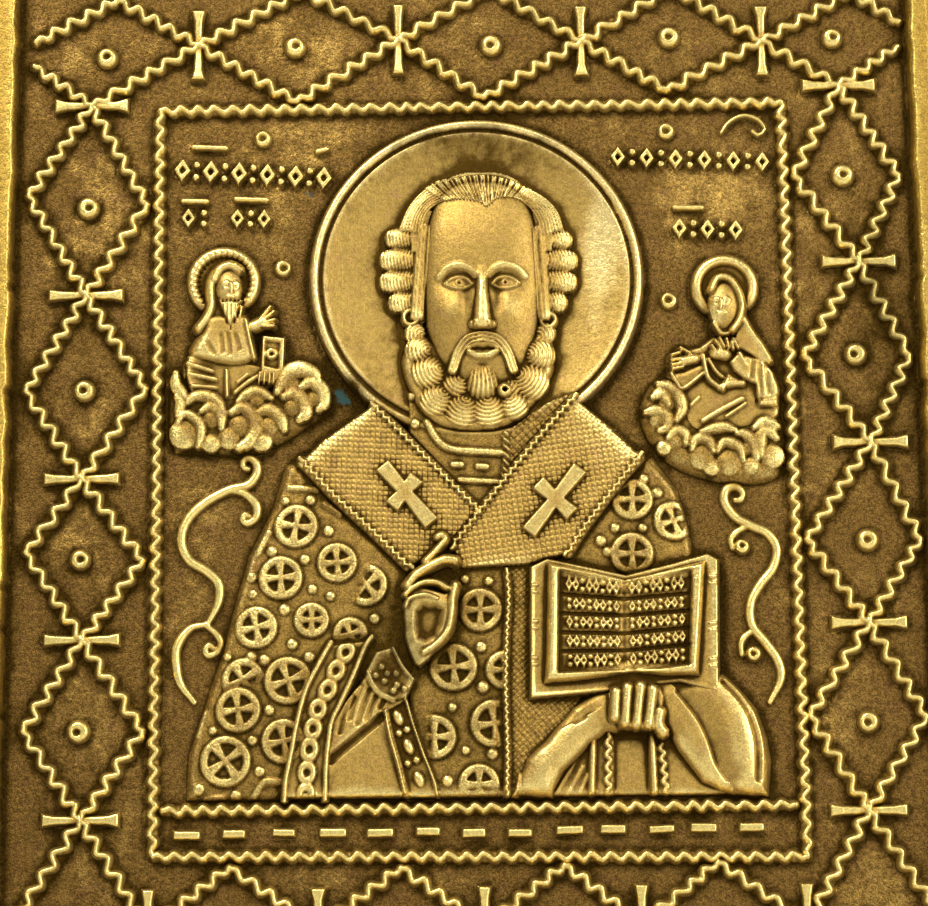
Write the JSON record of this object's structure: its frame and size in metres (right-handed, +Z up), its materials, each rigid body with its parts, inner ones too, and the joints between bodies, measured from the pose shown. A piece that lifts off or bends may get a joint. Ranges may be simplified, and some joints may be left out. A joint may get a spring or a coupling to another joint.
{
  "type": "icon",
  "caption": "Upright rectangular cast brass plaque icon with a haloed half figure in relief, a wavy ridged frame and a diamond lattice border.",
  "frame": {"origin": "centre of the flat back face", "axes": "+Z up the icon, +X to the right of someone who faces it, the relief faces -Y and the back face looks along +Y"},
  "size_m": [0.1, 0.0067, 0.113],
  "materials": {
    "ground_brass": "as cast, brown patina, fine grained",
    "relief_brass": "cast brass worn smooth, brown in the recesses",
    "bright_brass": "rubbed bright on the high edges"
  },
  "bodies": {
    "root": {"back_plate": "ground_brass", "rim_top": "bright_brass", "rim_bottom": "bright_brass", "rim_left": "bright_brass", "rim_right": "bright_brass", "lattice_top": "bright_brass", "lattice_bottom": "bright_brass", "lattice_left": "bright_brass", "lattice_right": "bright_brass", "bead_top_1": "bright_brass", "bead_top_2": "bright_brass", "bead_top_3": "bright_brass", "bead_top_4": "bright_brass", "bead_top_5": "bright_brass", "bead_bottom_1": "bright_brass", "bead_bottom_2": "bright_brass", "bead_bottom_3": "bright_brass", "bead_bottom_4": "bright_brass", "bead_bottom_5": "bright_brass", "bead_bottom_6": "bright_brass", "bead_left_1": "bright_brass", "bead_left_2": "bright_brass", "bead_left_3": "bright_brass", "bead_left_4": "bright_brass", "bead_right_1": "bright_brass", "bead_right_2": "bright_brass", "bead_right_3": "bright_brass", "bead_right_4": "bright_brass", "frame_top": "bright_brass", "frame_bottom": "bright_brass", "frame_left": "bright_brass", "frame_right": "bright_brass", "foot_rail": "bright_brass", "halo": "relief_brass", "head": "relief_brass", "hair": "relief_brass", "beard": "relief_brass", "collar": "relief_brass", "stole_left": "relief_brass", "stole_right": "relief_brass", "robe": "relief_brass", "robe_front": "relief_brass", "robe_shoulder": "relief_brass", "sleeve_border": "relief_brass", "inner_sleeve": "relief_brass", "blessing_hand": "relief_brass", "book_cover": "relief_brass", "book_pages": "relief_brass", "book_hand": "relief_brass", "veil_left": "relief_brass", "veil_right": "relief_brass", "left_figure": "relief_brass", "left_halo": "relief_brass", "left_cloud": "relief_brass", "right_figure": "relief_brass", "right_halo": "relief_brass", "right_cloud": "relief_brass", "scroll_left": "bright_brass", "scroll_right": "bright_brass"}
  },
  "joints": []
}
